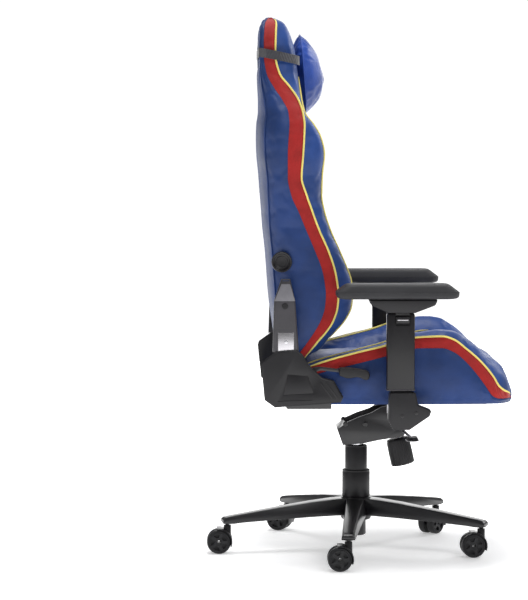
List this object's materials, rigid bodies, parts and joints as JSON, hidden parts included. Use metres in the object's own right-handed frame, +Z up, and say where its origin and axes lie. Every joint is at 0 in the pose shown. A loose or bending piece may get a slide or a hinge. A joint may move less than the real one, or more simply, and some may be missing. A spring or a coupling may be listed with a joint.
{
  "type": "gaming chair",
  "caption": "High-backed swivel chair with a bucket seat, reclining back, head pillow, height-adjustable armrests, tilt mechanism, gas column and a star base on twin castors.",
  "frame": {"origin": "on the floor, on the axis of the gas column and the star base", "axes": "+X towards the front of the seat, +Y to the sitter's left, +Z up"},
  "size_m": [0.7427, 0.7042, 1.327],
  "materials": {
    "satin_black_enamel": "satin powder coat",
    "black_plastic": "fine moulded texture",
    "grey_plastic": "moulded, satin",
    "bright_steel": "zinc plated",
    "chromed_steel": "polished",
    "castor_tyre": "smooth polyurethane and nylon",
    "armrest_foam": "integral skin polyurethane",
    "blue_pu_leather": "blue grained PU leather with a red side band and pale yellow piping",
    "pillow_leather": "blue smooth PU leather",
    "elastic_webbing": "woven elastic",
    "dust_cloth": "non-woven cloth"
  },
  "bodies": {
    "base": {"star_base": "satin_black_enamel", "gas_cylinder_tube": "satin_black_enamel", "column_cover_lower": "black_plastic"},
    "middle_cover": {"column_cover_middle": "black_plastic"},
    "column": {"gas_piston_rod": "chromed_steel", "column_cover_upper": "black_plastic"},
    "valve_pin": {"gas_valve_pin": "bright_steel"},
    "mechanism": {"tilt_housing": "satin_black_enamel", "tilt_pivot_pin": "bright_steel", "tension_spring": "bright_steel"},
    "tension_knob": {"tension_knob": "black_plastic"},
    "lift_lever": {"lift_lever_rod": "bright_steel", "lift_lever_paddle": "black_plastic"},
    "seat": {"seat_mount_plate": "bright_steel", "seat_frame": "satin_black_enamel", "seat_webbing": "elastic_webbing", "seat_dust_cover": "dust_cloth", "seat_cushion": "blue_pu_leather", "recliner_lower_bracket_right": "satin_black_enamel", "recliner_disc_right": "bright_steel", "hinge_cover_right": "black_plastic", "armrest_bracket_right": "satin_black_enamel", "armrest_shroud_right": "black_plastic", "recliner_lower_bracket_left": "satin_black_enamel", "recliner_disc_left": "bright_steel", "hinge_cover_left": "black_plastic", "armrest_bracket_left": "satin_black_enamel", "armrest_shroud_left": "black_plastic"},
    "back": {"back_frame": "satin_black_enamel", "back_cushion": "blue_pu_leather", "headrest_pillow": "pillow_leather", "pillow_strap": "elastic_webbing", "recliner_upper_plate_right": "bright_steel", "upright_cover_right": "grey_plastic", "recliner_upper_plate_left": "bright_steel", "upright_cover_left": "grey_plastic"},
    "recline_lever": {"recline_cross_shaft": "bright_steel", "recline_lever_arm": "satin_black_enamel", "recline_lever_grip": "black_plastic"},
    "lumbar_knob": {"lumbar_knob": "black_plastic", "lumbar_shaft": "bright_steel"},
    "lumbar_support": {"lumbar_plate": "black_plastic"},
    "castor_1": {"castor_fork_1": "black_plastic"},
    "wheels_1": {"castor_wheels_1": "castor_tyre"},
    "castor_2": {"castor_fork_2": "black_plastic"},
    "wheels_2": {"castor_wheels_2": "castor_tyre"},
    "castor_3": {"castor_fork_3": "black_plastic"},
    "wheels_3": {"castor_wheels_3": "castor_tyre"},
    "castor_4": {"castor_fork_4": "black_plastic"},
    "wheels_4": {"castor_wheels_4": "castor_tyre"},
    "castor_5": {"castor_fork_5": "black_plastic"},
    "wheels_5": {"castor_wheels_5": "castor_tyre"},
    "armrest_post_right": {"armrest_post_right": "black_plastic"},
    "armrest_trigger_right": {"armrest_trigger_right": "grey_plastic"},
    "armrest_carrier_right": {"armrest_carrier_right": "black_plastic"},
    "armrest_pad_right": {"armrest_pad_right": "armrest_foam"},
    "armrest_post_left": {"armrest_post_left": "black_plastic"},
    "armrest_trigger_left": {"armrest_trigger_left": "grey_plastic"},
    "armrest_carrier_left": {"armrest_carrier_left": "black_plastic"},
    "armrest_pad_left": {"armrest_pad_left": "armrest_foam"}
  },
  "joints": [
    {"name": "column_lift", "type": "slide", "parent": "base", "child": "column", "axis": [0, 0, 1], "range_m": [0, 0.08]},
    {"name": "cover_slide", "type": "slide", "parent": "base", "child": "middle_cover", "axis": [0, 0, 1], "range_m": [0, 0.04]},
    {"name": "seat_swivel", "type": "hinge", "parent": "column", "child": "mechanism", "pos_m": [0, 0, 0.263], "axis": [0, 0, 1], "continuous": true},
    {"name": "seat_tilt", "type": "hinge", "parent": "mechanism", "child": "seat", "pos_m": [0.095, 0, 0.362], "axis": [0, -1, 0], "range_deg": [0, 12], "stiffness_Nm_per_rad": 180, "springref_deg": -28.65},
    {"name": "tension_turn", "type": "hinge", "parent": "mechanism", "child": "tension_knob", "pos_m": [0.1193, 0, 0.2137], "axis": [-0.2198, 0, 0.9755], "continuous": true},
    {"name": "lift_lever_pull", "type": "hinge", "parent": "mechanism", "child": "lift_lever", "pos_m": [0.1, -0.05, 0.3165], "axis": [-1, 0, 0], "range_deg": [0, 8], "stiffness_Nm_per_rad": 1.5, "springref_deg": -20.05},
    {"name": "valve_press", "type": "slide", "parent": "column", "child": "valve_pin", "axis": [0, 0, -1], "range_m": [0, 0.0073]},
    {"name": "back_recline", "type": "hinge", "parent": "seat", "child": "back", "pos_m": [-0.1565, 0, 0.424], "axis": [0, -1, 0], "range_deg": [0, 45]},
    {"name": "recline_lever_lift", "type": "hinge", "parent": "seat", "child": "recline_lever", "pos_m": [-0.1565, 0, 0.424], "axis": [0, -1, 0], "range_deg": [0, 20], "stiffness_Nm_per_rad": 3, "springref_deg": -22.92},
    {"name": "lumbar_turn", "type": "hinge", "parent": "back", "child": "lumbar_knob", "pos_m": [-0.194, 0, 0.74], "axis": [0, -1, 0], "range_deg": [0, 121]},
    {"name": "lumbar_push", "type": "slide", "parent": "back", "child": "lumbar_support", "axis": [1, 0, 0], "range_m": [0, 0.0199]},
    {"name": "castor_1_swivel", "type": "hinge", "parent": "base", "child": "castor_1", "pos_m": [-0.03481, -0.33118, 0.08], "axis": [0, 0, 1], "continuous": true},
    {"name": "castor_1_roll", "type": "hinge", "parent": "castor_1", "child": "wheels_1", "pos_m": [-0.05581, -0.33118, 0.03], "axis": [0, 1, 0], "continuous": true},
    {"name": "castor_2_swivel", "type": "hinge", "parent": "base", "child": "castor_2", "pos_m": [0.30421, -0.13544, 0.08], "axis": [0, 0, 1], "continuous": true},
    {"name": "castor_2_roll", "type": "hinge", "parent": "castor_2", "child": "wheels_2", "pos_m": [0.28326, -0.13691, 0.03], "axis": [-0.0698, 0.9976, 0], "continuous": true},
    {"name": "castor_3_swivel", "type": "hinge", "parent": "base", "child": "castor_3", "pos_m": [0.22282, 0.24747, 0.08], "axis": [0, 0, 1], "continuous": true},
    {"name": "castor_3_roll", "type": "hinge", "parent": "castor_3", "child": "wheels_3", "pos_m": [0.20989, 0.23092, 0.03], "axis": [-0.788, 0.6157, 0], "continuous": true},
    {"name": "castor_4_swivel", "type": "hinge", "parent": "base", "child": "castor_4", "pos_m": [-0.1665, 0.28839, 0.08], "axis": [0, 0, 1], "continuous": true},
    {"name": "castor_4_roll", "type": "hinge", "parent": "castor_4", "child": "wheels_4", "pos_m": [-0.18623, 0.29557, 0.03], "axis": [0.342, 0.9397, 0], "continuous": true},
    {"name": "castor_5_swivel", "type": "hinge", "parent": "base", "child": "castor_5", "pos_m": [-0.32572, -0.06924, 0.08], "axis": [0, 0, 1], "continuous": true},
    {"name": "castor_5_roll", "type": "hinge", "parent": "castor_5", "child": "wheels_5", "pos_m": [-0.34672, -0.06924, 0.03], "axis": [0, 1, 0], "continuous": true},
    {"name": "armrest_height_right", "type": "slide", "parent": "seat", "child": "armrest_post_right", "axis": [0, 0, 1], "range_m": [0, 0.07]},
    {"name": "armrest_trigger_press_right", "type": "slide", "parent": "armrest_post_right", "child": "armrest_trigger_right", "axis": [0, 0, 1], "range_m": [0, 0.004], "stiffness_N_per_m": 300, "springref_m": -0.004},
    {"name": "armrest_swivel_right", "type": "hinge", "parent": "armrest_post_right", "child": "armrest_carrier_right", "pos_m": [0.0905, -0.303, 0.62], "axis": [0, 0, 1], "range_deg": [0, 20]},
    {"name": "armrest_pad_slide_right", "type": "slide", "parent": "armrest_carrier_right", "child": "armrest_pad_right", "axis": [1, 0, 0], "range_m": [-0.02, 0.03]},
    {"name": "armrest_height_left", "type": "slide", "parent": "seat", "child": "armrest_post_left", "axis": [0, 0, 1], "range_m": [0, 0.07]},
    {"name": "armrest_trigger_press_left", "type": "slide", "parent": "armrest_post_left", "child": "armrest_trigger_left", "axis": [0, 0, 1], "range_m": [0, 0.004], "stiffness_N_per_m": 300, "springref_m": -0.004},
    {"name": "armrest_swivel_left", "type": "hinge", "parent": "armrest_post_left", "child": "armrest_carrier_left", "pos_m": [0.0905, 0.303, 0.62], "axis": [0, 0, -1], "range_deg": [0, 20]},
    {"name": "armrest_pad_slide_left", "type": "slide", "parent": "armrest_carrier_left", "child": "armrest_pad_left", "axis": [1, 0, 0], "range_m": [-0.02, 0.03]}
  ],
  "couplings": [
    {"joint": "cover_slide", "follows": "column_lift", "ratio": 0.5},
    {"joint": "valve_press", "follows": "lift_lever_pull", "m_per_rad": 0.0515},
    {"joint": "lumbar_turn", "follows": "lumbar_push", "rad_per_m": 105}
  ]
}
